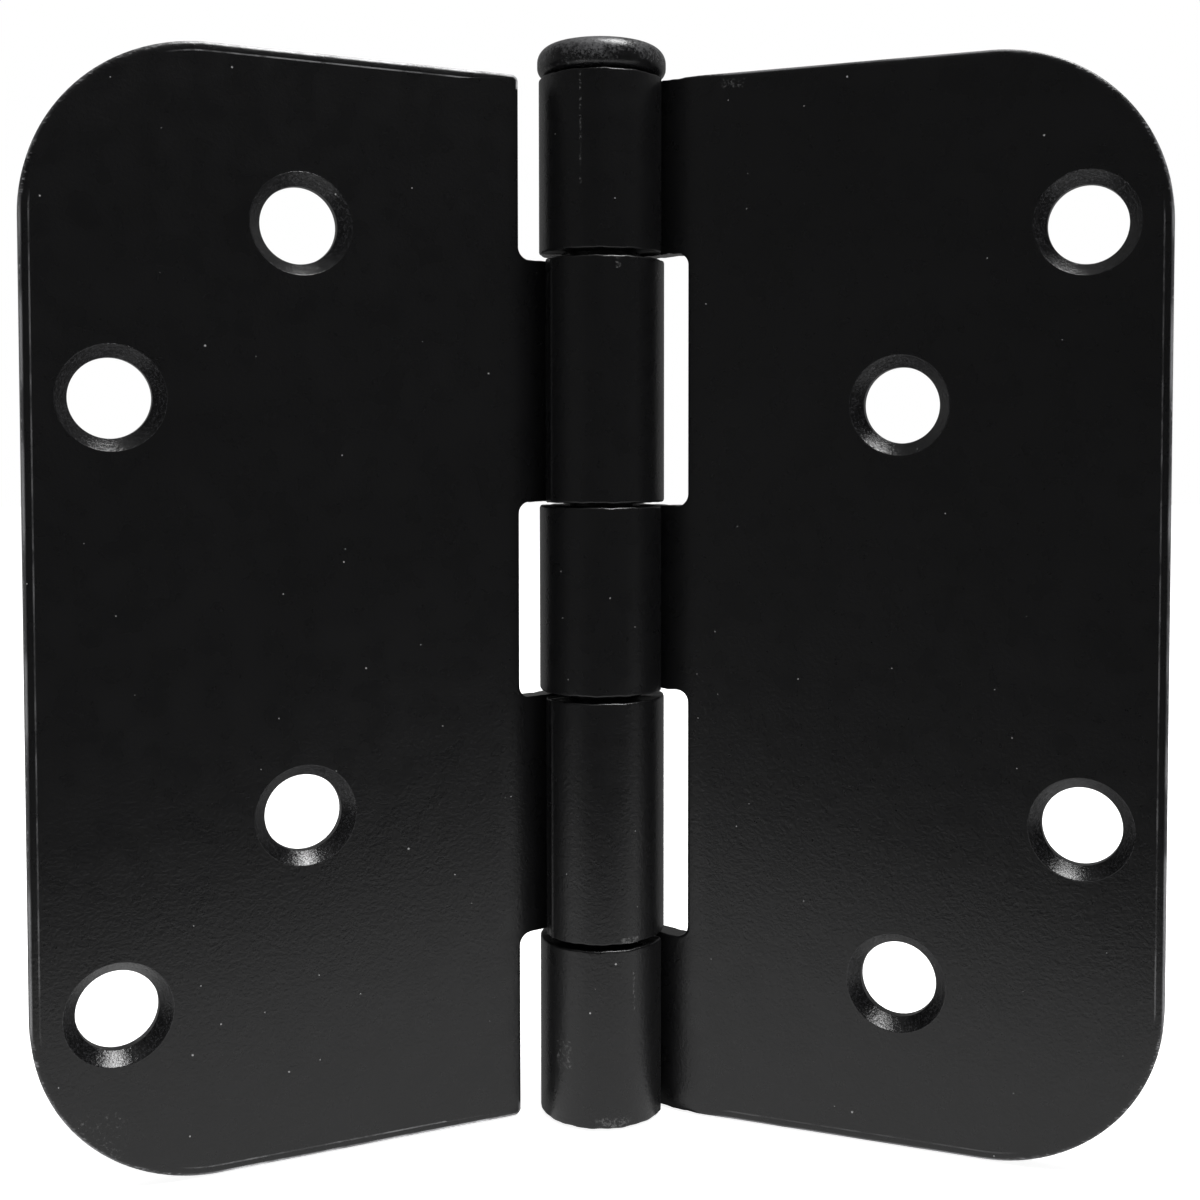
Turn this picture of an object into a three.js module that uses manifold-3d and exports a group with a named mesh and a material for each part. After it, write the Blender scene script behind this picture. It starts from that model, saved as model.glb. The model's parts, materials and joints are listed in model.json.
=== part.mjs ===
// A four-inch butt door hinge with round-cornered leaves and a loose button-head pin, standing open.
// Millimetres, +Z up along the pin. The origin is on the pin's axis, level with the lower end of the barrel.
// +X runs towards the jamb leaf, and both leaves lean towards -Y, the side of their countersinks.
import * as THREE from "three";
import { mergeVertices } from "three/addons/utils/BufferGeometryUtils.js";
import Module from "manifold-3d";

const wasm = await Module();
wasm.setup();

// Leaves
const LEAF_HEIGHT = 101.6;
const LEAF_REACH = 53.2; // pin axis to a leaf's outer edge
const SHEET = 2.2;
const CORNER_RADIUS = 15.875;
const CLOSED_GAP = 1.6; // between the two front faces when the hinge is shut
const LEAF_LEAN = 22.5; // degrees that each leaf leans towards -Y at rest
const SWAGE_END = 11; // pin axis to where the leaf becomes flat
const NOTCH_EDGE = 8.6; // pin axis to the leaf's inner edge between its knuckles
const NOTCH_FILLET = 1.1;

// Barrel, from the top knuckle to the bottom one
const BARREL_RADIUS = 6.15;
const KNUCKLE_LENGTHS = [17, 23.65, 18.25, 23.45, 17.45];
const JOINT_GAPS = [0.55, 0.3, 0.5, 0.45];
const ROLL_END = 8; // degrees from the leaf's own plane to the free end of its rolled knuckles

// Screw holes, heights from the middle of the leaf
const OUTER_ROW = 45.9; // pin axis to the row near the outer edge
const INNER_ROW = 29.3;
const FAR_PAIR = 35.1;
const NEAR_PAIR = 19.1;
const PATTERN_SHIFT = -0.2;
const HOLE_RADIUS = 3.55;
const COUNTERSINK_RADIUS = 4.65;
const COUNTERSINK_ANGLE = 82; // degrees, the whole cone

// Pin
const PIN_RADIUS = 3.8;
const PIN_BEVEL = 1.2;
const HEAD_RADIUS = 6.3;
const HEAD_CLEARANCE = 0.3; // between the top knuckle and the underside of the head
const HEAD_HEIGHT = 3.4;
const HEAD_EDGE_RADIUS = 1.3;
const HEAD_DOME = 0.6; // height of the crown over the head's rounded edge

// Fineness of the faceted curves
const ARC_STEP = 9; // degrees
const HOLE_SIDES = 28;
const PIN_SIDES = 40;

// Worked out from the sizes above
const FRONT_FACE = CLOSED_GAP / 2;
const BACK_FACE = FRONT_FACE + SHEET;
const BORE_RADIUS = BARREL_RADIUS - SHEET;
const SWAGE_DEPTH = BARREL_RADIUS - BACK_FACE;
const SWAGE_TURN = 2 * Math.atan(SWAGE_DEPTH / SWAGE_END);
const SWAGE_RADIUS = SWAGE_END / Math.sin(SWAGE_TURN) - BARREL_RADIUS;
const COUNTERSINK_SLOPE = Math.tan(THREE.MathUtils.degToRad(COUNTERSINK_ANGLE / 2));
const COUNTERSINK_DEPTH = (COUNTERSINK_RADIUS - HOLE_RADIUS) / COUNTERSINK_SLOPE;
const CUT_MARGIN = 2; // how far a cutting tool runs past the face it cuts

// Points along an arc, angles in degrees.
function arc(x, y, radius, from, to) {
  const steps = Math.max(1, Math.ceil(Math.abs(to - from) / ARC_STEP));
  return Array.from({ length: steps + 1 }, (_, i) => {
    const angle = THREE.MathUtils.degToRad(from + ((to - from) * i) / steps);
    return new THREE.Vector2(x + radius * Math.cos(angle), y + radius * Math.sin(angle));
  });
}

function extrude(points, depth) {
  return new THREE.ExtrudeGeometry(new THREE.Shape(points), {
    depth,
    bevelEnabled: false,
  });
}

function solidOf(geometry) {
  const bare = geometry.clone();
  bare.deleteAttribute("normal");
  bare.deleteAttribute("uv");
  const merged = mergeVertices(bare);
  return new wasm.Manifold(
    new wasm.Mesh({
      numProp: 3,
      vertProperties: merged.attributes.position.array,
      triVerts: new Uint32Array(merged.index.array),
    }),
  );
}

function geometryOf(solid) {
  const { vertProperties, triVerts } = solid.getMesh();
  const geometry = new THREE.BufferGeometry();
  geometry.setAttribute("position", new THREE.BufferAttribute(vertProperties, 3));
  geometry.setIndex(new THREE.BufferAttribute(triVerts, 1));
  geometry.computeVertexNormals();
  return geometry;
}

// [bottom, top] of every knuckle, from the top one down.
function knuckleSpans() {
  let top = LEAF_HEIGHT;
  return KNUCKLE_LENGTHS.map((length, i) => {
    const span = [top - length, top];
    top -= length + (JOINT_GAPS[i] ?? 0);
    return span;
  });
}

// A leaf's section, drawn in its own frame: +X along the leaf from the pin axis, +Y towards its back.
// The sheet swages back from the flat to the far side of the barrel and rolls right round the pin.
function leafSection() {
  const turn = THREE.MathUtils.radToDeg(SWAGE_TURN);
  const swageY = BACK_FACE + SWAGE_RADIUS;
  return [
    new THREE.Vector2(LEAF_REACH, BACK_FACE),
    ...arc(SWAGE_END, swageY, SWAGE_RADIUS, -90, -90 - turn),
    ...arc(0, 0, BARREL_RADIUS, 90 - turn, 360 + ROLL_END).slice(1),
    ...arc(0, 0, BORE_RADIUS, 360 + ROLL_END, 90 - turn),
    ...arc(SWAGE_END, swageY, SWAGE_RADIUS + SHEET, -90 - turn, -90).slice(1),
    new THREE.Vector2(LEAF_REACH, FRONT_FACE),
  ];
}

// A leaf's outline seen from the front: +X along the leaf, +Y up.
// Its outer corners are round, and its inner edge is notched to leave only its own knuckles.
function leafOutline(spans) {
  const outer = LEAF_REACH - CORNER_RADIUS;
  const reach = -BARREL_RADIUS - CUT_MARGIN;
  const filletX = NOTCH_EDGE - NOTCH_FILLET;
  const points = [
    ...arc(outer, CORNER_RADIUS, CORNER_RADIUS, -90, 0),
    ...arc(outer, LEAF_HEIGHT - CORNER_RADIUS, CORNER_RADIUS, 0, 90),
  ];
  if (spans[0][1] < LEAF_HEIGHT) points.push(new THREE.Vector2(NOTCH_EDGE, LEAF_HEIGHT));
  for (const [bottom, top] of spans) {
    if (top < LEAF_HEIGHT) points.push(...arc(filletX, top + NOTCH_FILLET, NOTCH_FILLET, 0, -90));
    points.push(new THREE.Vector2(reach, top), new THREE.Vector2(reach, bottom));
    if (bottom > 0) points.push(...arc(filletX, bottom - NOTCH_FILLET, NOTCH_FILLET, 90, 0));
  }
  if (spans.at(-1)[0] > 0) points.push(new THREE.Vector2(NOTCH_EDGE, 0));
  return points;
}

// The tool that drills and countersinks one screw hole, pointing along the leaf's +Y.
function screwHoleTool(x, z) {
  const wide = COUNTERSINK_RADIUS + CUT_MARGIN * COUNTERSINK_SLOPE;
  const tool = new THREE.LatheGeometry(
    [
      new THREE.Vector2(0, FRONT_FACE - CUT_MARGIN),
      new THREE.Vector2(wide, FRONT_FACE - CUT_MARGIN),
      new THREE.Vector2(HOLE_RADIUS, FRONT_FACE + COUNTERSINK_DEPTH),
      new THREE.Vector2(HOLE_RADIUS, BACK_FACE + CUT_MARGIN),
      new THREE.Vector2(0, BACK_FACE + CUT_MARGIN),
    ],
    HOLE_SIDES,
  );
  return solidOf(tool.translate(x, 0, z));
}

// Centres of the four screw holes of a leaf, zigzag from the top one down.
function screwHoles() {
  const middle = LEAF_HEIGHT / 2 + PATTERN_SHIFT;
  return [
    [OUTER_ROW, middle + FAR_PAIR],
    [INNER_ROW, middle + NEAR_PAIR],
    [OUTER_ROW, middle - NEAR_PAIR],
    [INNER_ROW, middle - FAR_PAIR],
  ];
}

function leafGeometry(spans) {
  const rolledStrip = solidOf(extrude(leafSection(), LEAF_HEIGHT));
  const thick = 2 * (BARREL_RADIUS + CUT_MARGIN);
  const blank = extrude(leafOutline(spans), thick).rotateX(Math.PI / 2).translate(0, thick / 2, 0);
  let leaf = rolledStrip.intersect(solidOf(blank));
  for (const [x, z] of screwHoles()) leaf = leaf.subtract(screwHoleTool(x, z));
  return geometryOf(leaf);
}

// The pin's shank has a bevelled lower end, and its button head has a rounded edge and a low crown.
function pinGeometry() {
  const seat = LEAF_HEIGHT + HEAD_CLEARANCE;
  const edgeX = HEAD_RADIUS - HEAD_EDGE_RADIUS;
  const edgeTop = seat + HEAD_HEIGHT - HEAD_DOME;
  const profile = [
    new THREE.Vector2(0, 0),
    new THREE.Vector2(PIN_RADIUS - PIN_BEVEL, 0),
    new THREE.Vector2(PIN_RADIUS, PIN_BEVEL),
    new THREE.Vector2(PIN_RADIUS, seat),
    ...arc(edgeX, seat + HEAD_EDGE_RADIUS, HEAD_EDGE_RADIUS, -90, 0),
    ...arc(edgeX, edgeTop - HEAD_EDGE_RADIUS, HEAD_EDGE_RADIUS, 0, 81),
    new THREE.Vector2(edgeX / 2, seat + HEAD_HEIGHT - HEAD_DOME / 4),
    new THREE.Vector2(0, seat + HEAD_HEIGHT),
  ];
  return geometryOf(solidOf(new THREE.LatheGeometry(profile, PIN_SIDES).rotateX(Math.PI / 2)));
}

function part(name, geometry) {
  const blackCoat = new THREE.MeshStandardMaterial({
    color: 0x0d0d0e,
    roughness: 0.4,
    metalness: 0.2,
  });
  const mesh = new THREE.Mesh(geometry, blackCoat);
  mesh.name = name;
  return mesh;
}

const [first, second, third, fourth, fifth] = knuckleSpans();
const upsideDown = ([bottom, top]) => [LEAF_HEIGHT - top, LEAF_HEIGHT - bottom];
const lean = THREE.MathUtils.degToRad(LEAF_LEAN);

const jambLeaf = part("jamb_leaf", leafGeometry([first, third, fifth]));
jambLeaf.rotation.z = -lean;

// The door leaf is a leaf of the same pattern turned half round, end for end.
const doorLeaf = part("door_leaf", leafGeometry([fourth, second].map(upsideDown)));
doorLeaf.rotation.y = Math.PI;
doorLeaf.position.z = LEAF_HEIGHT;
const doorSide = new THREE.Group();
doorSide.rotation.z = lean;
doorSide.add(doorLeaf);

const hinge = new THREE.Group();
hinge.add(jambLeaf, doorSide, part("hinge_pin", pinGeometry()));

export default hinge;
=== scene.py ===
import json
import math

import bpy
import numpy as np
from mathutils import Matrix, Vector
from mathutils.geometry import delaunay_2d_cdt


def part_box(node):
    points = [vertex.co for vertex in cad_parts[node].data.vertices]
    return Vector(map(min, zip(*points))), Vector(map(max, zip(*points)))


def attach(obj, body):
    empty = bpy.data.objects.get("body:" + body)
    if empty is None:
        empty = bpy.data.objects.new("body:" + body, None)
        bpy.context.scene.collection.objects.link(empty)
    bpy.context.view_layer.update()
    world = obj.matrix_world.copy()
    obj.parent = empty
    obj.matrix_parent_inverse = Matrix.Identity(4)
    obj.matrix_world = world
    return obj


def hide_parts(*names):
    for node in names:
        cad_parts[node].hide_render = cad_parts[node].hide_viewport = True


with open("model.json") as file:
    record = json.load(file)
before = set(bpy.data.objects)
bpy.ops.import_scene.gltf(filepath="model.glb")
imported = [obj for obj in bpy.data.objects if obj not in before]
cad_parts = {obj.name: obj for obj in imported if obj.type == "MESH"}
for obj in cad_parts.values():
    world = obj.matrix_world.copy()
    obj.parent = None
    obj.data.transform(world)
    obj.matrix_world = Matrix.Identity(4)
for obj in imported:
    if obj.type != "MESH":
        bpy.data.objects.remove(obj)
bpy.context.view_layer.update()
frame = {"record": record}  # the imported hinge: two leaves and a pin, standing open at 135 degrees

# Shapes are worked out in millimetres and become metres when a mesh is made.
MM = 0.001

# Driving sizes from the frame
mounts = {mount["name"]: mount for mount in frame["record"]["mounts"]}
jamb_back = mounts["jamb_leaf_back"]
_, jamb_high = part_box("jamb_leaf")
_, pin_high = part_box("hinge_pin")
LEAN = math.atan2(jamb_back["axis"][0], jamb_back["axis"][1])
BACK_FACE = Vector(jamb_back["pos_m"]).dot(Vector(jamb_back["axis"])) / MM
LEAF_HEIGHT = jamb_high.z / MM
LEAF_REACH = (jamb_high.x / MM - BACK_FACE * math.sin(LEAN)) / math.cos(LEAN)
HEAD_RADIUS = pin_high.x / MM
PIN_LENGTH = pin_high.z / MM

# Sheet and barrel
SHEET = 2.2
HALF = SHEET / 2
BARREL_RADIUS = 6.15
SWAGE_END = 11.0  # pin axis to where the leaf becomes flat
ROLL_END = math.radians(8)  # from the leaf's plane to the free end of the roll
CORNER_RADIUS = 15.875
NOTCH_FILLET = 1.1
NOTCH_CLEAR = 0.65  # from a notch to the first lines that run right up the leaf
INNER_CORNER = 0.6
TAB_CORNER = 0.5
KNUCKLE_LENGTHS = (17, 23.65, 18.25, 23.45, 17.45)
JOINT_GAPS = (0.55, 0.3, 0.5, 0.45, 0)

# Edges: the blanking die rounds the front arris and leaves the back one crisp.
LEAF_EDGE = (0.75, 0.24, 0.13)  # width and depth of the front rounding, radius of the back arris
TAB_EDGE = (0.13, 0.13, 0.22)
TAB_EDGE_END = 7.0  # pin axis to where a tab's edge starts to widen into the leaf's
LEAF_EDGE_START = SWAGE_END + 2
FADE = 0.3  # from an edge's rounding to the first vertices of the face
FACE_INSET = 4.0  # what the middle of a face counts as from the nearest edge
WALL_INSET = 0.6  # what the cut edge's wall counts as, so that only its front arris wears
WORN_WALL = 0.15  # how far down the wall that wear fades out
RAGGED = 0.09  # how unevenly the notches are punched
JAMB_NOTCH = 8.75  # pin axis to each leaf's inner edge between its knuckles
DOOR_NOTCH = 8.45

# The free ends of the rolled knuckles. Angles are in degrees from the leaf's own plane.
JAMB_CHAMFER = (0, 0.35)  # where the thinned end starts, and how much thinner it gets
DOOR_CHAMFER = (-14, 0.45)
JAMB_RIDGES = (1,)  # the fine ridges that the rolling die leaves
DOOR_RIDGES = (-14, -2)
RIDGE_HEIGHT = 0.07
RIDGE_WIDTH = 0.16
RIDGE_REACH = 2  # ridge widths from a ridge's crest to where it dies out

# Fineness of the meshes
LONG_EDGE = 4.0  # longest stretch of a leaf's edge between two vertices
FACE_GRID = 6.0
CORNER_STEPS = 36  # round an outer corner
ROUND_STEPS = 8  # round a small one
FRONT_STEPS = 7  # across the front rounding
ARRIS_STEPS = 5
SWAGE_STEPS = 15
ROLL_STEPS = 126
RIDGE_STEPS = 13
HEAD_STEPS = 15
CROWN_STEPS = 12
HOLE_SIDES = 120
PIN_SIDES = 144
SNAP = 0.02  # columns nearer to each other than this are one column
FINE_CLEAR = 0.03  # room round the columns of a ridge or chamfer

# Screw holes
HOLE_RADIUS = 3.55
COUNTERSINK_RADIUS = 4.65
CONE = math.radians(41)  # from the hole's axis to its countersink
HOLE_ARRIS = 0.12
HOLE_INSET = 0.24  # what a hole's wall counts as from an edge, so that it wears little

# Pin
PIN_RADIUS = 3.8
PIN_BEVEL = 1.2
NECK_RADIUS = 0.2  # where the shank meets the head
HEAD_SEAT = 101.75  # height of the underside of the head
HEAD_FOOT = 1.0  # radius of the head's lower edge
HEAD_EDGE = 1.5  # and of its upper one
HEAD_DOME = 0.6  # height of the crown over the rounded edge
RUB_START = 0.3  # the head is rubbed more and more from this height over its underside
RUB_RISE = 2.2  # over this much height
UNRUBBED = -0.6  # what the shank, the head's underside and the middle of its crown count as

# Worked out from the sizes above
MIDDLE = BACK_FACE - HALF
SWAGE_DEPTH = BARREL_RADIUS - BACK_FACE
SWAGE_TURN = 2 * math.atan(SWAGE_DEPTH / SWAGE_END)
SWAGE_INSIDE = SWAGE_END / math.sin(SWAGE_TURN) - BARREL_RADIUS
SWAGE_MID = SWAGE_INSIDE + HALF
SWAGE_Y = BACK_FACE + SWAGE_INSIDE
ROLL_MID = BARREL_RADIUS - HALF
ROLL_START = SWAGE_END - SWAGE_MID * SWAGE_TURN
ROLL_ARC = math.radians(270) + SWAGE_TURN + ROLL_END
TAB_END = ROLL_START - ROLL_MID * ROLL_ARC


def unroll(angle):
    """Developed distance of the place on the roll at this angle from the leaf's plane, in radians."""
    return TAB_END + ROLL_MID * (ROLL_END - angle)


def knuckle_spans():
    """(bottom, top) of every knuckle, from the top one down."""
    spans, top = [], LEAF_HEIGHT
    for length, gap in zip(KNUCKLE_LENGTHS, JOINT_GAPS):
        spans.append((top - length, top))
        top -= length + gap
    return spans


def screw_holes():
    """Centres of a leaf's holes on its developed blank: distance from the pin axis, and height."""
    centres = []
    for opening in frame["record"]["physics"]["openings"]:
        if opening["name"].startswith("jamb"):
            low, high = opening["box_m"]
            x, y, z = [(a + b) / 2 / MM for a, b in zip(low, high)]
            centres.append((x * math.cos(LEAN) - y * math.sin(LEAN), z))
    return centres


# ---------------------------------------------------------------- sheet metal


def bend(u):
    """Mid-surface point, back-side normal and tangent of the bent sheet at developed distance u."""
    turned = np.clip((SWAGE_END - u) / SWAGE_MID, 0, SWAGE_TURN)
    rolled = np.maximum(ROLL_START - u, 0) / ROLL_MID
    tilt = turned - rolled
    normal = np.stack([np.sin(tilt), np.cos(tilt)], -1)
    tangent = np.stack([np.cos(tilt), -np.sin(tilt)], -1)
    flat = np.stack([u, np.full_like(u, MIDDLE)], -1)
    swage = np.array([SWAGE_END, SWAGE_Y]) - SWAGE_MID * normal
    point = np.where((u >= SWAGE_END)[:, None], flat, swage)
    point = np.where((u < ROLL_START)[:, None], ROLL_MID * normal, point)
    return point, normal, tangent


class Sheet:
    """Collects vertices given on the developed blank: along it, up it and through its thickness. Each has
    its normal in the same directions, its distance from the nearest edge and whether it is countersunk."""

    def __init__(self, chamfer_start, chamfer_depth, ridges):
        self.places, self.normals, self.faces = [], [], []
        self.inset, self.cone = [], []
        self.chamfer_start, self.chamfer_depth, self.ridges = chamfer_start, chamfer_depth, ridges

    def add(self, place, normal, inset, cone=0.0):
        self.places.append(place)
        self.normals.append(normal)
        self.inset.append(inset)
        self.cone.append(cone)
        return len(self.places) - 1

    def bent(self):
        """Positions and unit normals in the leaf's own frame, once it is chamfered, ridged and bent."""
        u, v, h = np.array(self.places, float).T
        along, up, out = np.array(self.normals, float).T
        run = self.chamfer_start - TAB_END
        inside = np.clip((self.chamfer_start - u) / run, 0, 1)
        thinner = 1 - inside * self.chamfer_depth / HALF
        h = np.where(h > 0, h * thinner, h)
        rise = self.chamfer_depth / (run * BARREL_RADIUS / ROLL_MID)
        rise = np.where(inside > 0, rise, 0)
        for ridge in self.ridges:
            across = (u - ridge) / RIDGE_WIDTH
            swell = RIDGE_HEIGHT * np.exp(-across * across)
            h = np.where(h > 0, h + swell, h)
            rise = rise - 2 * across * swell / RIDGE_WIDTH
        slope = np.where(out > 0, np.arctan(rise), 0)
        point, normal, tangent = bend(u)
        position = np.column_stack([point + h[:, None] * normal, v])
        face = normal * np.cos(slope)[:, None] - tangent * np.sin(slope)[:, None]
        shade = np.column_stack([along[:, None] * tangent + out[:, None] * face, up])
        return position, shade / np.linalg.norm(shade, axis=1)[:, None]


def rounded_outline(corners, columns):
    """Points and outward normals of an anticlockwise outline whose corners (u, v, radius) are right angles.
    Edges that run along u also get a point at each of the given columns."""
    points, normals = [], []
    count = len(corners)
    arcs = []
    for i, (u, v, radius) in enumerate(corners):
        here = np.array([u, v])
        into = here - np.array(corners[i - 1][:2])
        out = np.array(corners[(i + 1) % count][:2]) - here
        into, out = into / np.linalg.norm(into), out / np.linalg.norm(out)
        side = np.sign(into[0] * out[1] - into[1] * out[0])
        centre = here - radius * into + radius * out
        steps = CORNER_STEPS if radius == CORNER_RADIUS else ROUND_STEPS
        turns = np.linspace(0, math.pi / 2, steps + 1)
        rays = np.outer(np.sin(turns), into) - np.outer(np.cos(turns), out)
        arcs.append((centre + radius * rays, side * rays))
    for i, (arc, ray) in enumerate(arcs):
        points.extend(arc)
        normals.extend(ray)
        start, end = arc[-1], arcs[(i + 1) % count][0][0]
        for point in divided_edge(start, end, columns):
            points.append(point)
            normals.append(ray[-1])
    return np.array(points), np.array(normals)


def divided_edge(start, end, columns):
    """Points strictly between two ends: at the columns, and every few millimetres where the sheet is flat."""
    span = end - start
    length = np.linalg.norm(span)
    stops = set()
    if abs(span[0]) > abs(span[1]):
        stops = {(column - start[0]) / span[0] for column in columns}
    pieces = max(1, math.ceil(length / LONG_EDGE))
    if not any(0 < s < 1 for s in stops) or max(start[0], end[0]) > SWAGE_END:
        flat_from = SWAGE_END + 1
        for i in range(1, pieces):
            along = i / pieces
            u = start[0] + along * span[0]
            if abs(span[0]) < 1e-6 or u > flat_from:
                stops.add(along)
    margin = SNAP / length
    return [start + s * span for s in sorted(stops) if margin < s < 1 - margin]


def blank_corners(spans, notch_edge):
    """Corners of the developed blank, anticlockwise from its lower outer one, with their radii."""
    corners = [(LEAF_REACH, 0, CORNER_RADIUS), (LEAF_REACH, LEAF_HEIGHT, CORNER_RADIUS)]
    if spans[0][1] < LEAF_HEIGHT:
        corners.append((notch_edge, LEAF_HEIGHT, INNER_CORNER))
    for bottom, top in spans:
        if top < LEAF_HEIGHT:
            corners.append((notch_edge, top, NOTCH_FILLET))
        corners += [(TAB_END, top, TAB_CORNER), (TAB_END, bottom, TAB_CORNER)]
        if bottom > 0:
            corners.append((notch_edge, bottom, NOTCH_FILLET))
    if spans[-1][0] > 0:
        corners.append((notch_edge, 0, INNER_CORNER))
    return corners


def bend_columns(chamfer_start, ridges, notch_edge):
    """Developed distances where the mesh needs a line across the sheet to follow its bends."""
    swage = np.linspace(SWAGE_END, ROLL_START, SWAGE_STEPS)
    swage = [u for u in swage if u < notch_edge - NOTCH_FILLET or u > notch_edge + NOTCH_CLEAR]
    roll = np.linspace(ROLL_START, TAB_END + TAB_CORNER, ROLL_STEPS)[1:-1]
    crease = 0.04  # half the width of the chamfer's upper edge
    fine = [chamfer_start + crease, chamfer_start - crease]
    for ridge in ridges:
        fine += [ridge + step * RIDGE_WIDTH for step in np.linspace(-RIDGE_REACH, RIDGE_REACH, RIDGE_STEPS)]
    fine = [u for u in fine if u > TAB_END + TAB_CORNER + SNAP]
    roll = [u for u in roll if min(abs(u - place) for place in fine) > FINE_CLEAR]
    turns = np.linspace(0, math.pi / 2, ROUND_STEPS + 1)
    fillet = notch_edge - NOTCH_FILLET + NOTCH_FILLET * np.sin(turns)
    columns = [*swage, *fillet]
    for u in sorted([*roll, *fine]):
        if abs(u - columns[-1]) > SNAP:
            columns.append(u)
    return sorted(columns)


def punch(points, normals, notch_edge):
    """Moves the edges between the knuckles a little inward, unevenly, as a worn punch leaves them."""
    u, v = points.T
    wave = 0.5 + 0.3 * np.sin(2.3 * u + 1.7 * v) + 0.2 * np.sin(5.1 * u + 2.9 * v)
    between_knuckles = (u < notch_edge + 0.01) & (u > TAB_END + TAB_CORNER)
    return points - np.outer(np.where(between_knuckles, RAGGED * wave * normals[:, 1], 0), (0, 1))


def column_pairs(points, spans, notch_edge):
    """Pairs of outline points that face each other across the sheet."""
    pairs = []
    bands = [(0, LEAF_HEIGHT, notch_edge + NOTCH_CLEAR, SWAGE_END + 0.01)]
    bands += [(bottom, top, TAB_END, notch_edge + 1e-4) for bottom, top in spans]
    for bottom, top, nearest, farthest in bands:
        below, above = {}, {}
        for i, (u, v) in enumerate(points):
            if not nearest < u < farthest:
                continue
            key = round(u, 3)
            if abs(v - bottom) < NOTCH_FILLET + RAGGED:
                below[key] = i
            elif abs(v - top) < NOTCH_FILLET + RAGGED:
                above[key] = i
        pairs += [(below[key], above[key]) for key in below if key in above]
    return pairs


def edge_rings(width, depth, arris):
    """The cut edge's profile from the front face to the back one. Each ring has its inset, its place through
    the sheet and its normal, and then its distance from the front arris, where the coating wears."""
    rings = []
    for turn in np.linspace(0, math.pi / 2, FRONT_STEPS):
        slope = Vector((math.sin(turn) / width, -math.cos(turn) / depth)).normalized()
        inset = width * (1 - math.sin(turn))
        rings.append(((inset, depth * (1 - math.cos(turn)) - HALF, *slope), inset))
    rings.append(((0.0, depth - HALF + WORN_WALL, 1.0, 0.0), WALL_INSET))
    for turn in np.linspace(0, math.pi / 2, ARRIS_STEPS):
        sine, cosine = math.sin(turn), math.cos(turn)
        rings.append(((arris * (1 - cosine), HALF - arris * (1 - sine), cosine, sine), WALL_INSET))
    return rings


def add_outline(sheet, points, normals):
    """Rings of vertices round the blank's edge. Returns the innermost ring of each face."""
    leafward = np.clip((points[:, 0] - TAB_EDGE_END) / (LEAF_EDGE_START - TAB_EDGE_END), 0, 1)
    fades = np.interp(points[:, 0], (SWAGE_END, LEAF_EDGE_START), (FADE / 2, FADE))
    profiles = []
    for share, fade in zip(leafward, fades):
        mixed = [a + share * (b - a) for a, b in zip(TAB_EDGE, LEAF_EDGE)]
        rings = edge_rings(*mixed)
        first = mixed[0] + fade
        last = mixed[2] + fade
        first_inset = first if share == 1 else FACE_INSET
        profiles.append([((first, -HALF, 0, -1), first_inset), *rings, ((last, HALF, 0, 1), FACE_INSET)])
    depth = len(profiles[0])
    rows = []
    for k in range(depth):
        row = []
        for point, normal, profile in zip(points, normals, profiles):
            (inward, h, out, face), inset = profile[k]
            u, v = point - inward * normal
            row.append(sheet.add((u, v, h), (out * normal[0], out * normal[1], face), inset))
        rows.append(row)
    count = len(points)
    for front, back in zip(rows, rows[1:]):
        for i in range(count):
            j = (i + 1) % count
            sheet.faces.append((front[j], front[i], back[i], back[j]))
    return rows[0], rows[-1]


def hole_profile():
    """A countersunk hole's wall from the front face to the back one: radius, place through the sheet, turn of
    the normal from straight out of the front, what it counts as from an edge, and 1 on the cone."""
    narrow = HOLE_ARRIS * math.tan((math.pi / 2 - CONE) / 2)
    depth = (COUNTERSINK_RADIUS - HOLE_RADIUS) / math.tan(CONE)
    wide_centre = (COUNTERSINK_RADIUS + narrow, -HALF + HOLE_ARRIS)
    neck_centre = (HOLE_RADIUS + HOLE_ARRIS, -HALF + depth + HOLE_ARRIS * math.tan(CONE / 2))
    back_centre = (HOLE_RADIUS + HOLE_ARRIS, HALF - HOLE_ARRIS)
    cone_turn = math.pi / 2 - CONE
    runs = [
        (wide_centre, 0, cone_turn, ARRIS_STEPS),
        (neck_centre, cone_turn, math.pi / 2, ARRIS_STEPS - 1),
        (back_centre, math.pi / 2, math.pi, ARRIS_STEPS),
    ]
    rows = [(wide_centre[0] + FADE, -HALF, 0.0, FACE_INSET, 0.0)]
    for (radius, h), start, end, steps in runs:
        for turn in np.linspace(start, end, steps):
            r = radius - HOLE_ARRIS * math.sin(turn)
            cut = 1.0 if 0 < turn <= cone_turn else 0.0
            rows.append((r, h - HOLE_ARRIS * math.cos(turn), turn, HOLE_INSET, cut))
    rows.append((back_centre[0] + FADE, HALF, math.pi, FACE_INSET, 0.0))
    return rows


def add_hole(sheet, centre):
    """A countersunk hole's rings. Returns its ring on each face."""
    rows = []
    turns = np.arange(HOLE_SIDES) * 2 * math.pi / HOLE_SIDES
    for radius, h, turn, inset, cut in hole_profile():
        row = []
        for around in turns:
            c, s = math.cos(around), math.sin(around)
            place = (centre[0] + radius * c, centre[1] + radius * s, h)
            inward = -math.sin(turn)
            row.append(sheet.add(place, (inward * c, inward * s, -math.cos(turn)), inset, cut))
        rows.append(row)
    for front, back in zip(rows, rows[1:]):
        for i in range(HOLE_SIDES):
            j = (i + 1) % HOLE_SIDES
            sheet.faces.append((front[i], front[j], back[j], back[i]))
    return rows[0], rows[-1]


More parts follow.
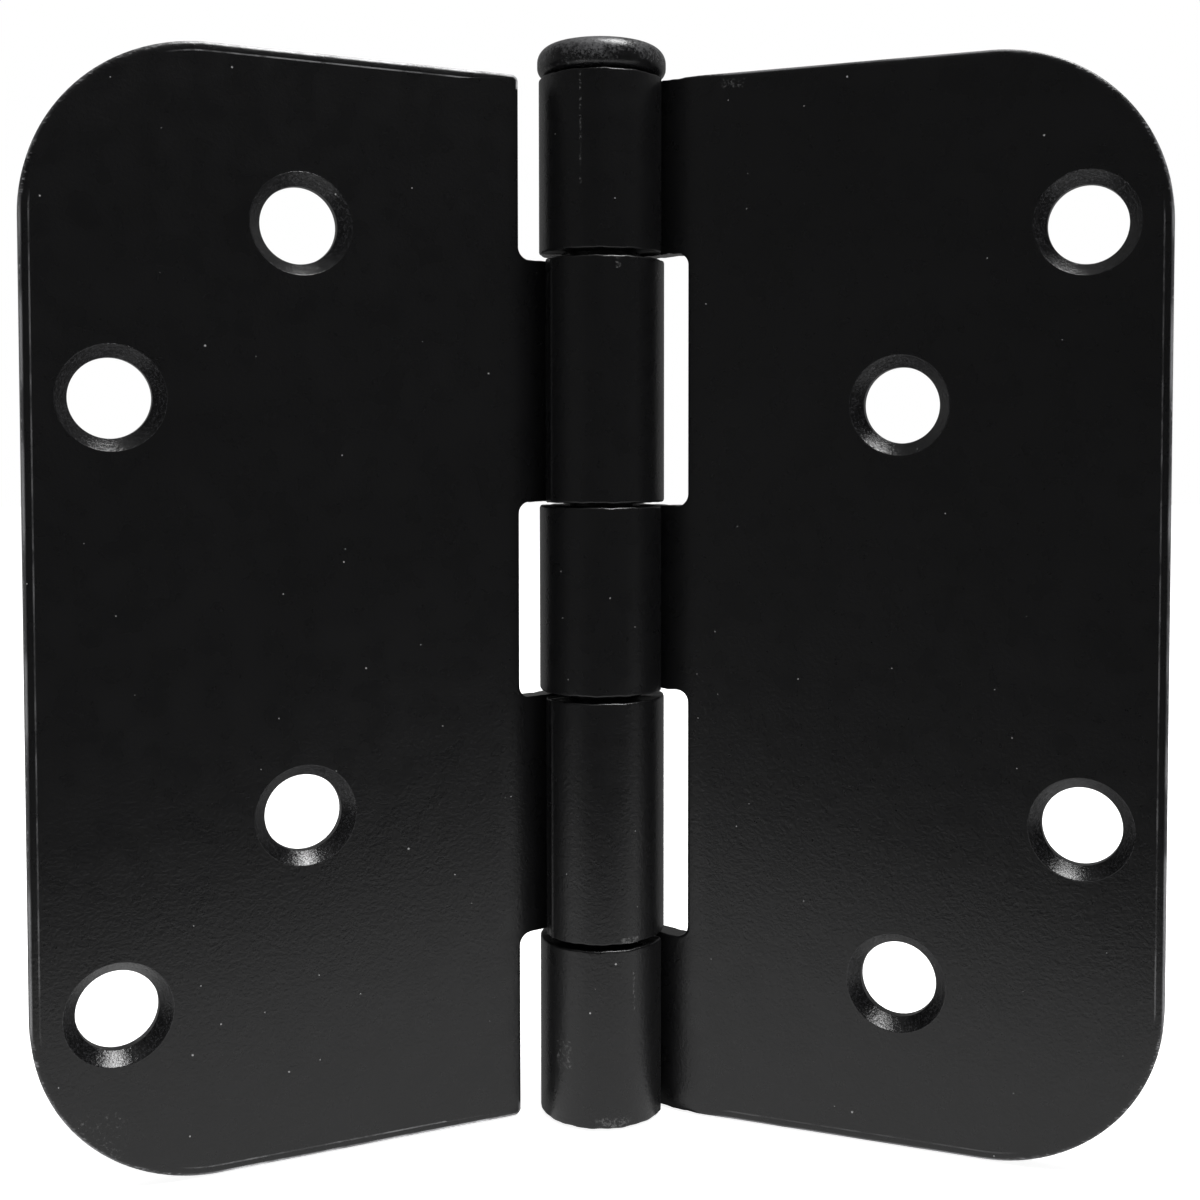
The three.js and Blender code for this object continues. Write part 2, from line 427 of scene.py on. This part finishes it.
def fill_face(sheet, outline, holes, centres, pairs, out):
    """Triangles over one face of the sheet, with edges along the columns so that it bends smoothly."""
    ids = list(outline)
    edges = [(i, (i + 1) % len(outline)) for i in range(len(outline))]
    edges += pairs
    for ring in holes:
        start = len(ids)
        ids += ring
        edges += [(start + i, start + (i + 1) % len(ring)) for i in range(len(ring))]
    margin = 2  # from the leaf's edges and the countersinks to the face's own vertices
    for u in np.arange(SWAGE_END + FACE_GRID / 2, LEAF_REACH - margin, FACE_GRID):
        for v in np.arange(FACE_GRID / 2, LEAF_HEIGHT - margin, FACE_GRID):
            from_hole = min(math.hypot(u - a, v - b) for a, b in centres)
            if from_hole > COUNTERSINK_RADIUS + margin and inside_corners(u, v):
                ids.append(sheet.add((u, v, out * HALF), (0, 0, out), FACE_INSET))
    flat = [Vector(sheet.places[i][:2]) for i in ids]
    verts, _, faces, origins, _, _ = delaunay_2d_cdt(flat, edges, [], 1, 1e-5, True)
    for vert, origin in zip(verts, origins):
        if not origin:
            raise RuntimeError(f"the blank's edges cross at {vert}")
    bounds = [np.array([sheet.places[i][:2] for i in ring]) for ring in (outline, *holes)]
    for face in faces:
        corners = [ids[origins[i][0]] for i in face]
        middle = np.mean([sheet.places[i][:2] for i in corners], axis=0)
        if not encloses(bounds[0], middle) or any(encloses(ring, middle) for ring in bounds[1:]):
            continue
        first, second, third = [np.array(sheet.places[i][:2]) for i in corners[:3]]
        anticlockwise = np.cross(second - first, third - first) > 0
        if anticlockwise != (out < 0):
            corners.reverse()
        sheet.faces.append(tuple(corners))


def encloses(ring, point):
    """Whether a closed ring of points goes round this point."""
    here, there = ring - point, np.roll(ring, -1, axis=0) - point
    crosses = (here[:, 1] > 0) != (there[:, 1] > 0)
    here, there = here[crosses], there[crosses]
    meets = here[:, 0] - here[:, 1] * (there[:, 0] - here[:, 0]) / (there[:, 1] - here[:, 1])
    return np.count_nonzero(meets > 0) % 2 == 1


def inside_corners(u, v):
    """Whether a point lies well inside the leaf's round outer corners."""
    margin = 3
    across = u - (LEAF_REACH - CORNER_RADIUS)
    up = max(CORNER_RADIUS - v, v - (LEAF_HEIGHT - CORNER_RADIUS))
    return across < 0 or up < 0 or math.hypot(across, up) < CORNER_RADIUS - margin


def make_mesh(name, positions, normals, faces, attributes, material):
    """A smooth piece with these normals, and a number at each vertex for every attribute."""
    mesh = bpy.data.meshes.new(name)
    mesh.from_pydata([tuple(p) for p in positions], [], faces)
    mesh.polygons.foreach_set("use_smooth", [True] * len(mesh.polygons))
    for key, values in attributes.items():
        layer = mesh.attributes.new(key, "FLOAT", "POINT")
        layer.data.foreach_set("value", np.asarray(values, np.float32))
    mesh.normals_split_custom_set_from_vertices([tuple(n) for n in normals])
    mesh.materials.append(material)
    piece = bpy.data.objects.new(name, mesh)
    bpy.context.scene.collection.objects.link(piece)
    return piece


def build_leaf(name, spans, notch_edge, chamfer, ridge_angles, to_world, material):
    """One leaf, bent from its blank and set in place by to_world, which is a turn and then a shift."""
    chamfer_start = unroll(math.radians(chamfer[0]))
    ridges = [unroll(math.radians(angle)) for angle in ridge_angles]
    sheet = Sheet(chamfer_start, chamfer[1], ridges)
    columns = bend_columns(chamfer_start, ridges, notch_edge)
    points, normals = rounded_outline(blank_corners(spans, notch_edge), columns)
    points = punch(points, normals, notch_edge)
    front, back = add_outline(sheet, points, normals)
    centres = screw_holes()
    rings = [add_hole(sheet, centre) for centre in centres]
    pairs = column_pairs(points, spans, notch_edge)
    fill_face(sheet, front, [r[0] for r in rings], centres, pairs, -1)
    fill_face(sheet, back, [r[1] for r in rings], centres, pairs, 1)
    position, normal = sheet.bent()
    along, up, _ = np.array(sheet.places).T
    attributes = {"inset": sheet.inset, "cone": sheet.cone, "sheet_u": along, "sheet_v": up}
    turn, shift = to_world
    return make_mesh(name, position @ turn.T * MM + shift, normal @ turn.T, sheet.faces, attributes, material)


def turn_z(angle):
    """The matrix of a turn about the pin's axis."""
    c, s = math.cos(angle), math.sin(angle)
    return np.array([[c, -s, 0], [s, c, 0], [0, 0, 1]])


# ------------------------------------------------------------------------ pin


def pin_profile():
    """Up the pin, in millimetres: radius, height, and the normal's turn from straight down."""
    quarter = math.pi / 2
    rows = [(0.0, 0.0, 0.0), (PIN_RADIUS - PIN_BEVEL, 0.0, 0.0)]
    for turn in np.linspace(0, quarter, ROUND_STEPS + 1):
        rows.append((PIN_RADIUS - PIN_BEVEL * (1 - math.sin(turn)), PIN_BEVEL * (1 - math.cos(turn)), turn))
    neck = HEAD_SEAT - NECK_RADIUS
    rows += [(PIN_RADIUS, HEAD_SEAT / 2, quarter), (PIN_RADIUS, neck, quarter)]
    for turn in np.linspace(quarter, 0, ARRIS_STEPS):
        r = PIN_RADIUS + NECK_RADIUS - NECK_RADIUS * math.sin(turn)
        rows.append((r, neck + NECK_RADIUS * math.cos(turn), turn))
    foot_x = HEAD_RADIUS - HEAD_FOOT
    for turn in np.linspace(0, quarter, ROUND_STEPS + 1):
        rows.append((foot_x + HEAD_FOOT * math.sin(turn), HEAD_SEAT + HEAD_FOOT * (1 - math.cos(turn)), turn))
    edge_x = HEAD_RADIUS - HEAD_EDGE
    edge_z = PIN_LENGTH - HEAD_DOME - HEAD_EDGE
    crown_slope = math.atan(2 * HEAD_DOME / edge_x)
    for turn in np.linspace(quarter, math.pi - crown_slope, HEAD_STEPS):
        rows.append((edge_x + HEAD_EDGE * math.sin(turn), edge_z - HEAD_EDGE * math.cos(turn), turn))
    rim_x = edge_x + HEAD_EDGE * math.sin(crown_slope)
    rim_z = rows[-1][1]
    for share in np.linspace(0, 1, CROWN_STEPS)[1:]:
        left = 1 - share
        rows.append((rim_x * left, PIN_LENGTH - (PIN_LENGTH - rim_z) * left**2, math.pi - crown_slope * left))
    return rows


def rubbed(radius, height):
    """How much a place on the pin is rubbed: from 0 low on the head's side to 1 near its top."""
    clear_of_neck = PIN_RADIUS + 2 * NECK_RADIUS
    if radius <= clear_of_neck:
        return UNRUBBED
    return min(1, max(0, (height - HEAD_SEAT - RUB_START) / RUB_RISE))


def build_pin(material):
    """The loose pin, turned from its profile."""
    positions, normals, edge, rings, faces = [], [], [], [], []
    for radius, height, turn in pin_profile():
        ring = []
        for k in range(PIN_SIDES if radius > 0 else 1):
            around = 2 * math.pi * k / PIN_SIDES
            c, s = math.cos(around), math.sin(around)
            ring.append(len(positions))
            positions.append((radius * c * MM, radius * s * MM, height * MM))
            normals.append((math.sin(turn) * c, math.sin(turn) * s, -math.cos(turn)))
            edge.append(rubbed(radius, height))
        rings.append(ring)
    for low, high in zip(rings, rings[1:]):
        for k in range(PIN_SIDES):
            j = (k + 1) % PIN_SIDES
            if len(low) == 1:
                faces.append((low[0], high[j], high[k]))
            elif len(high) == 1:
                faces.append((low[k], low[j], high[0]))
            else:
                faces.append((low[k], low[j], high[j], high[k]))
    return make_mesh("pin_turned", positions, normals, faces, {"edge": edge}, material)


# ------------------------------------------------------------------ materials

# Colours of the coating, and of what shows where it is worn, cut, marked or dusty, and of the highlights
# painted along the leaves' edges
BLACK = (0.0029, 0.0029, 0.0031)
BLACK_LIGHTER = (0.0043, 0.0043, 0.0046)
# worn coating, and also the colour of the painted highlight line at the very edge of a leaf
WORN_AND_HIGHLIGHT = (0.15, 0.15, 0.155)
RUBBED = (0.085, 0.085, 0.088)
MARK = (0.055, 0.055, 0.055)
# painted highlight of the crease where a leaf's edge rounding starts
PAINTED_LIP_HIGHLIGHT = (0.12, 0.12, 0.123)
CUT = (0.016, 0.016, 0.017)
# painted highlight of the rounded edge at the blank's ends
PAINTED_EDGE_HIGHLIGHT = (0.5, 0.5, 0.51)
DUST = (0.2, 0.2, 0.2)

# How rough the coating is
LEAF_ROUGHNESS = 0.28
PIN_ROUGHNESS = 0.26
WORN_ROUGHER = 0.1
CUT_SMOOTHER = 0.09  # how much less rough the cutter leaves the countersinks

# Features of the coating, in metres
CLOUD_SIZE = 0.012
PATCH_SIZE = 0.0025  # of its rougher and smoother places
PEEL_SIZE = 0.0009
PEEL_HEIGHT = 0.000012
GRAIN_SIZE = 0.00034
GRAIN_HEIGHT = 0.000037
COARSE_DUST = (0.0042, 0.0001, 0.9)  # spacing and radius of the specks, and the share of places with one
FINE_DUST = (0.0023, 0.00006, 0.7)
WEAR_SPACING = 0.008  # between the more worn stretches of a leaf's edge
CHIP_SIZE = 0.0005
TEAR_SIZE = 0.0004
CHATTER_SIZE = 0.0002
SPECKLE_SIZE = 0.00021
BREAK_SIZE = 0.004  # of the breaks in the lines beside an edge
FLECK_SIZE = 0.0003
RUB_SPACING = 0.0035
RUB_SIZE = 0.0003

# The faint painted highlights beside a leaf's edges, in millimetres
LIP_INSET = 0.81  # from the edge to the line where its rounding starts
LIP_WIDTH = 0.05
LIP_SOFT = 0.03
ALONG_EDGE = 1.2  # a place this near an edge is along it
PAST_EDGE = 1.6  # and one this far from it isn't
JAMB_LIP = (0.3, 0.0)  # how strong the painted highlight line is along the blank's lower and upper ends
DOOR_LIP = (1.3, 0.9)


class Nodes:
    """A short way to write a node tree."""

    def __init__(self, tree):
        self.tree = tree
        self.coordinates = self.new("ShaderNodeTexCoord")

    def new(self, kind):
        return self.tree.nodes.new(kind)

    def link(self, source, target):
        self.tree.links.new(source, target)

    def maths(self, operation, *inputs):
        node = self.new("ShaderNodeMath")
        node.operation = operation
        for socket, value in zip(node.inputs, inputs):
            if isinstance(value, (int, float)):
                socket.default_value = value
            else:
                self.link(value, socket)
        return node.outputs[0]

    def product(self, value, *others):
        for other in others:
            value = self.maths("MULTIPLY", value, other)
        return value

    def total(self, value, *others):
        for other in others:
            value = self.maths("ADD", value, other)
        return value

    def most(self, value, *others):
        for other in others:
            value = self.maths("MAXIMUM", value, other)
        return value

    def one_minus(self, value):
        return self.maths("SUBTRACT", 1.0, value)

    def ramp(self, value, low, high, to_low=0.0, to_high=1.0):
        """A smooth step from to_low to to_high as value goes from low to high."""
        node = self.new("ShaderNodeMapRange")
        node.interpolation_type = "SMOOTHSTEP"
        self.link(value, node.inputs["Value"])
        ends = {"From Min": low, "From Max": high, "To Min": to_low, "To Max": to_high}
        for key, number in ends.items():
            node.inputs[key].default_value = number
        return node.outputs["Result"]

    def between(self, value, low, high, soft):
        """1 where value is between low and high, falling off over soft."""
        return self.product(self.ramp(value, low - soft, low), self.ramp(value, high, high + soft, 1.0, 0.0))

    def scaled(self, size, stretch, shift):
        """The object's coordinates in units of size, shifted to another part of a pattern."""
        node = self.new("ShaderNodeMapping")
        node.inputs["Scale"].default_value = [1 / (size * s) for s in stretch]
        node.inputs["Location"].default_value = (shift, shift * 1.7, shift * 0.6)
        self.link(self.coordinates.outputs["Object"], node.inputs["Vector"])
        return node.outputs["Vector"]

    def noise(self, size, detail=2.0, roughness=0.5, stretch=(1, 1, 1), shift=0.0):
        """Noise from 0 to 1 whose features are about size metres across."""
        node = self.new("ShaderNodeTexNoise")
        node.inputs["Scale"].default_value = 1.0
        node.inputs["Detail"].default_value = detail
        node.inputs["Roughness"].default_value = roughness
        self.link(self.scaled(size, stretch, shift), node.inputs["Vector"])
        return node.outputs["Fac"]

    def specks(self, spacing, radius, share, shift=0.0):
        """1 inside sparse dots of this radius, one in some of the cells of this spacing."""
        node = self.new("ShaderNodeTexVoronoi")
        node.inputs["Scale"].default_value = 1.0
        self.link(self.scaled(spacing, (1, 1, 1), shift), node.inputs["Vector"])
        near = self.maths("LESS_THAN", node.outputs["Distance"], radius / spacing)
        split = self.new("ShaderNodeSeparateColor")
        self.link(node.outputs["Color"], split.inputs["Color"])
        chosen = self.maths("LESS_THAN", split.outputs["Red"], share)
        return self.product(near, chosen)

    def attribute(self, name):
        node = self.new("ShaderNodeAttribute")
        node.attribute_name = name
        return node.outputs["Fac"]

    def mix_colour(self, share, first, second):
        """The first colour where share is 0 and the second where it is 1."""
        node = self.new("ShaderNodeMix")
        node.data_type = "RGBA"
        self.link(share, node.inputs["Factor"])
        for socket, value in ((node.inputs[6], first), (node.inputs[7], second)):
            if isinstance(value, tuple):
                socket.default_value = (*value, 1)
            else:
                self.link(value, socket)
        return node.outputs[2]

    def bump(self, height, distance, after=None):
        node = self.new("ShaderNodeBump")
        node.inputs["Distance"].default_value = distance
        node.inputs["Strength"].default_value = 1.0
        self.link(height, node.inputs["Height"])
        if after:
            self.link(after, node.inputs["Normal"])
        return node.outputs["Normal"]


def new_material(name):
    """A material and its principled shader."""
    material = bpy.data.materials.new(name)
    material.use_nodes = True
    return material, material.node_tree.nodes["Principled BSDF"]


def coated_material(name, make_surface):
    """A material of satin coating. make_surface gives its colour, roughness and normal."""
    material, shader = new_material(name)
    n = Nodes(material.node_tree)
    for output, key in zip(make_surface(n), ("Base Color", "Roughness", "Normal")):
        n.link(output, shader.inputs[key])
    shader.inputs["IOR"].default_value = 1.5
    return material


def coating(n, roughness, wear_and_highlight, worn_and_highlight_colour, relief):
    """Satin black coating with an orange peel and dust specks: its colour, roughness and normal."""
    dust = n.most(n.specks(*COARSE_DUST), n.specks(*FINE_DUST, shift=4.0))
    colour = n.mix_colour(n.noise(CLOUD_SIZE, 3), BLACK, BLACK_LIGHTER)
    # wear, and on the leaves also a painted highlight line along the edge, in the given colour
    colour = n.mix_colour(wear_and_highlight, colour, worn_and_highlight_colour)
    colour = n.mix_colour(dust, colour, DUST)
    patches = n.noise(PATCH_SIZE, 4, shift=2.0)
    rough = n.ramp(patches, 0.25, 0.75, roughness - 0.03, roughness + 0.04)
    rough = n.total(rough, n.product(wear_and_highlight, WORN_ROUGHER))
    normal = n.bump(n.noise(PEEL_SIZE, 2), PEEL_HEIGHT)
    normal = n.bump(relief, GRAIN_HEIGHT, after=normal)
    return colour, rough, normal


def grain(n):
    """The coating's fine bumps."""
    return n.noise(GRAIN_SIZE, 3, 0.65)


def corners(n):
    """1 in a leaf's two round outer corners."""
    arc_start = LEAF_REACH - CORNER_RADIUS
    outer = n.ramp(n.attribute("sheet_u"), arc_start + 1, arc_start + 4)
    half = LEAF_HEIGHT / 2
    from_middle = n.maths("ABSOLUTE", n.maths("SUBTRACT", n.attribute("sheet_v"), half))
    return n.product(outer, n.ramp(from_middle, half - CORNER_RADIUS, half - CORNER_RADIUS + 2))


def edge_wear_and_highlight(n):
    """Wear along the blanked arrises, with a painted highlight: a thin painted highlight line at the very
    edge, fine chips that crowd towards it, and dashes where the die tore the round corners."""
    inset, along = n.attribute("inset"), n.attribute("sheet_u")
    at_corner = corners(n)
    closeness = n.ramp(inset, 0.0, 0.3, 1.0, 0.0)
    places = n.noise(WEAR_SPACING, 2, shift=9.0)
    fewer_on_tabs = n.ramp(along, TAB_EDGE_END, SWAGE_END + 1, -0.09, 0.0)
    chance = n.product(n.noise(CHIP_SIZE, 4, 0.7, shift=5.0), 0.55)
    chance = n.total(chance, n.product(places, 0.35), n.product(closeness, 0.24), fewer_on_tabs)
    chips = n.product(n.ramp(chance, 0.62, 0.74), n.ramp(closeness, 0.0, 0.3))
    torn = n.ramp(n.noise(TEAR_SIZE, 3, 0.6, stretch=(2, 2, 0.6), shift=8.0), 0.54, 0.64)
    torn = n.product(torn, n.ramp(inset, 0.15, 0.4, 0.8, 0.0), at_corner)
    # painted highlight: a thin light line at the very edge, where the rounded arris catches the light
    line = n.product(n.ramp(inset, 0.1, 0.28, 1.0, 0.0), n.ramp(places, 0.42, 0.58, 0.25, 1.0))
    line = n.product(line, n.ramp(along, SWAGE_END, LEAF_EDGE_START), n.one_minus(n.product(at_corner, 0.7)))
    return n.product(n.most(chips, torn, line), n.one_minus(n.attribute("cone")))


def tool_marks(n):
    """The grain, and on the countersinks the coarse chatter of the cutter as well."""
    chatter = n.product(n.noise(CHATTER_SIZE, 3, 0.7, shift=3.0), n.attribute("cone"))
    return n.total(grain(n), n.product(chatter, 0.7))


def painted_lip_highlights(n, low_end, high_end):
    """Two faint broken painted highlights, one where the edge's rounding starts and one at the very edge. The
    first runs along the blank's outer edge and its two ends, with the given strengths at the ends. The second
    is a brighter painted highlight of the rounded edge and shows where the first is strong."""
    inset, up = n.attribute("inset"), n.attribute("sheet_v")
    low = n.ramp(up, ALONG_EDGE, PAST_EDGE, low_end, 0.0)
    high = n.ramp(up, LEAF_HEIGHT - PAST_EDGE, LEAF_HEIGHT - ALONG_EDGE, 0.0, high_end)
    ends = n.total(low, high)
    outer_edge = n.ramp(n.attribute("sheet_u"), LEAF_REACH - PAST_EDGE, LEAF_REACH - ALONG_EDGE, 0.0, 0.5)
    breaks = n.ramp(n.noise(BREAK_SIZE, 4, 0.7, shift=6.0), 0.36, 0.66, 0.15, 1.0)
    breaks = n.product(breaks, n.one_minus(corners(n)))
    inner = n.between(inset, LIP_INSET - LIP_WIDTH, LIP_INSET + LIP_WIDTH, LIP_SOFT)
    inner = n.product(inner, n.total(ends, outer_edge))
    outer = n.product(n.ramp(inset, 0.16, 0.32, 1.0, 0.0), n.ramp(ends, 0.5, 1.2))
    return n.product(inner, breaks), n.product(outer, breaks)


def handling_mark(n, flecks, mark):
    """How much of a scuff shows. A mark is the ends of its stretch along the sheet and up it, in
    millimetres, and how solid it is from 0 to 1."""
    (left, right), (low, high), solid = mark
    soft = 0.3 * min(right - left, high - low)
    across = n.between(n.attribute("sheet_u"), left, right, soft)
    patch = n.product(across, n.between(n.attribute("sheet_v"), low, high, soft))
    return n.product(patch, n.ramp(flecks, 0.62 - 0.25 * solid, 0.75 - 0.25 * solid))


def leaf_coating(name, lip_ends, marks):
    """A leaf's coating, with the painted highlights beside its edges and its handling marks."""

    def surface(n):
        colour, rough, normal = coating(n, LEAF_ROUGHNESS, edge_wear_and_highlight(n), WORN_AND_HIGHLIGHT, tool_marks(n))
        cone = n.attribute("cone")
        speckle = n.ramp(n.noise(SPECKLE_SIZE, 3, 0.7, shift=4.0), 0.48, 0.62)
        colour = n.mix_colour(n.product(speckle, cone), colour, CUT)
        inner, outer = painted_lip_highlights(n, *lip_ends)
        # painted highlight along the crease where the edge's rounding starts
        colour = n.mix_colour(inner, colour, PAINTED_LIP_HIGHLIGHT)
        # a brighter painted highlight at the very edge, at the blank's ends
        colour = n.mix_colour(outer, colour, PAINTED_EDGE_HIGHLIGHT)
        flecks = n.noise(FLECK_SIZE, 4, 0.75, shift=7.0)
        for mark in marks:
            colour = n.mix_colour(handling_mark(n, flecks, mark), colour, MARK)
        rough = n.maths("SUBTRACT", rough, n.product(cone, CUT_SMOOTHER))
        return colour, rough, normal

    return coated_material(name, surface)


def head_wear(n):
    """Fine mottled rubbing that grows towards the top of the head."""
    chance = n.product(n.noise(RUB_SIZE, 5, 0.8, shift=5.0), 0.6)
    places = n.product(n.noise(RUB_SPACING, 2, shift=9.0), 0.3)
    chance = n.total(chance, places, n.product(n.attribute("edge"), 0.2))
    return n.ramp(chance, 0.52, 0.72)


def pin_coating():
    """The pin's coating, rubbed on the head."""

    def surface(n):
        return coating(n, PIN_ROUGHNESS, head_wear(n), RUBBED, grain(n))

    return coated_material("rubbed_black_coating", surface)


# ------------------------------------------------------------ light and stage

ROOM_GLOW = 0.032
WALL_GLOW = 0.18  # the wall behind the hinge
CEILING_GLOW = 0.3
SIDE_GLOW = 0.06  # to the right
LEFT_GLOW = 0.065
TABLE_GLOW = 0.61
TABLE_FRONT = -0.0725
TABLE_BACK = -0.003
TABLE_LEFT = -0.1
TABLE_RIGHT = 0.2
TABLE_HEIGHT = -0.0001
LAMP_SIZE = (0.27, 0.22)
LAMP_DISTANCE = 0.9
LAMPS = (((0.19, -0.09, 0.975), 24.0), ((0.32, -0.27, 0.9), 12.5))  # the way to each, and its glow
POWER = 4  # watts that give a lamp of one square metre a glow of 1

FLOOR_HALF = 1.5
FLOOR_HEIGHT = -0.0002
FLOOR_COLOUR = (0.9, 0.9, 0.9, 1)
FLOOR_GLOW = 0.9
WHITE = (1, 1, 1, 1)

CAMERA_LENS = 45.84
CAMERA_FILM = 36
CAMERA_SHIFT = (-0.03404, -0.08313)
CAMERA_LEFT = 0.002
CAMERA_AHEAD = 0.15115
CAMERA_RISE = 0.01522  # over the middle of the leaves
CAMERA_TILT = math.radians(2.0774)  # downwards
CAMERA_TURN = math.radians(2.2185)  # to the right
CAMERA_NEAREST = 0.005


def build_world():
    """A dim room with a brighter wall behind, ceiling and sides. The camera itself sees plain white."""
    world = bpy.data.worlds.new("studio")
    bpy.context.scene.world = world
    world.use_nodes = True
    n = Nodes(world.node_tree)
    way = n.new("ShaderNodeSeparateXYZ")
    n.link(n.coordinates.outputs["Generated"], way.inputs[0])
    behind = n.ramp(way.outputs["Y"], -0.15, 0.5, 0.0, WALL_GLOW)
    above = n.ramp(way.outputs["Z"], 0.6, 0.95, 0.0, CEILING_GLOW)
    right = n.ramp(way.outputs["X"], 0.66, 0.98, 0.0, SIDE_GLOW)
    left = n.ramp(way.outputs["X"], -0.45, -0.68, 0.0, LEFT_GLOW)
    glow = n.total(n.most(behind, above), left, right, ROOM_GLOW)
    seen = n.new("ShaderNodeLightPath").outputs["Is Camera Ray"]
    background = world.node_tree.nodes["Background"]
    n.link(n.most(glow, seen), background.inputs["Strength"])
    background.inputs["Color"].default_value = WHITE


def area_light(name, place, size, glow, rotation):
    """A rectangular lamp, which shines along its own -Z."""
    light = bpy.data.lights.new(name, "AREA")
    light.shape = "RECTANGLE"
    light.size, light.size_y = size
    light.energy = glow * POWER * size[0] * size[1]
    holder = bpy.data.objects.new(name, light)
    holder.location = place
    holder.rotation_euler = rotation
    bpy.context.scene.collection.objects.link(holder)


def build_lights():
    """The white table's glow from below, and two lamps over the hinge to the right."""
    middle = ((TABLE_LEFT + TABLE_RIGHT) / 2, (TABLE_FRONT + TABLE_BACK) / 2, TABLE_HEIGHT)
    size = (TABLE_RIGHT - TABLE_LEFT, TABLE_BACK - TABLE_FRONT)
    area_light("table_glow", middle, size, TABLE_GLOW, (math.pi, 0, 0))
    for i, (way, glow) in enumerate(LAMPS, 1):
        way = Vector(way).normalized()
        turn = way.to_track_quat("Z", "Y").to_euler()
        area_light(f"lamp_{i}", way * LAMP_DISTANCE, LAMP_SIZE, glow, turn)


def build_floor():
    """A plain pale floor just under the hinge."""
    mesh = bpy.data.meshes.new("floor")
    signs = [(-1, -1), (1, -1), (1, 1), (-1, 1)]
    places = [(x * FLOOR_HALF, y * FLOOR_HALF, FLOOR_HEIGHT) for x, y in signs]
    mesh.from_pydata(places, [], [(0, 1, 2, 3)])
    floor = bpy.data.objects.new("floor", mesh)
    bpy.context.scene.collection.objects.link(floor)
    material, shader = new_material("pale_floor")
    shader.inputs["Base Color"].default_value = FLOOR_COLOUR
    shader.inputs["Roughness"].default_value = 1.0
    shader.inputs["Emission Color"].default_value = WHITE
    shader.inputs["Emission Strength"].default_value = FLOOR_GLOW
    mesh.materials.append(material)
    floor.visible_glossy = False


def build_camera():
    """A camera in front of the hinge, a little to its left and above its middle."""
    camera = bpy.data.cameras.new("camera")
    camera.lens = CAMERA_LENS
    camera.sensor_width = CAMERA_FILM
    camera.shift_x, camera.shift_y = CAMERA_SHIFT
    camera.clip_start = CAMERA_NEAREST
    holder = bpy.data.objects.new("camera", camera)
    holder.location = (-CAMERA_LEFT, -CAMERA_AHEAD, LEAF_HEIGHT / 2 * MM + CAMERA_RISE)
    holder.rotation_euler = (math.pi / 2 - CAMERA_TILT, 0, -CAMERA_TURN)
    bpy.context.scene.collection.objects.link(holder)
    bpy.context.scene.camera = holder


# --------------------------------------------------------------------- build


def on_roll(angle, width):
    """The stretch of the sheet this wide round a place on the roll, degrees from the leaf's plane."""
    middle = unroll(math.radians(angle))
    return middle - width / 2, middle + width / 2


def from_top(low, high):
    """The same stretch on a leaf turned end for end."""
    return LEAF_HEIGHT - high, LEAF_HEIGHT - low


# Handling marks, where the coating is scuffed: their stretches along the sheet and up it, and how solid
jamb_marks = [
    (on_roll(-87.3, 0.14), (90.5, 101.2), 0.5),  # a scratch up the top knuckle
    (on_roll(-38.5, 0.14), (11.5, 15.2), 0.5),  # a short scratch on the bottom one
    (on_roll(-106, 1.2), (5.8, 8.2), 0.4),  # and a scuff there
    (on_roll(-58, 2.6), (0.1, 1.0), 0.5),  # the bottom knuckle's lower edge
    ((12.0, 14.2), (100.2, 100.9), 0.35),  # the leaf's top edge, beside the top knuckle
]
door_marks = [
    (on_roll(-81.5, 0.3), from_top(82.8, 83.7), 0.6),  # the second knuckle's top edge
    (on_roll(-92.5, 1.4), from_top(17.9, 18.5), 0.7),  # the fourth knuckle's lower edge
    ((46.2, 50.2), from_top(3.0, 6.6), 0.25),  # the leaf's lower corner
]

spans = knuckle_spans()
jamb_black = leaf_coating("jamb_black_coating", JAMB_LIP, jamb_marks)
door_black = leaf_coating("door_black_coating", DOOR_LIP, door_marks)
to_jamb = (turn_z(-LEAN), np.zeros(3))
half_turn = np.diag([-1.0, 1.0, -1.0])
to_door = (turn_z(LEAN) @ half_turn, np.array([0, 0, LEAF_HEIGHT * MM]))

jamb_spans = [spans[0], spans[2], spans[4]]
jamb = build_leaf("jamb_sheet", jamb_spans, JAMB_NOTCH, JAMB_CHAMFER, JAMB_RIDGES, to_jamb, jamb_black)
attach(jamb, "jamb_leaf")
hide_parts("jamb_leaf")

door_spans = [from_top(*spans[3]), from_top(*spans[1])]
door = build_leaf("door_sheet", door_spans, DOOR_NOTCH, DOOR_CHAMFER, DOOR_RIDGES, to_door, door_black)
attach(door, "door_leaf")
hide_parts("door_leaf")

pin = build_pin(pin_coating())
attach(pin, "hinge_pin")
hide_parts("hinge_pin")

build_world()
build_lights()
build_floor()
build_camera()
bpy.context.scene.view_settings.view_transform = "Standard"
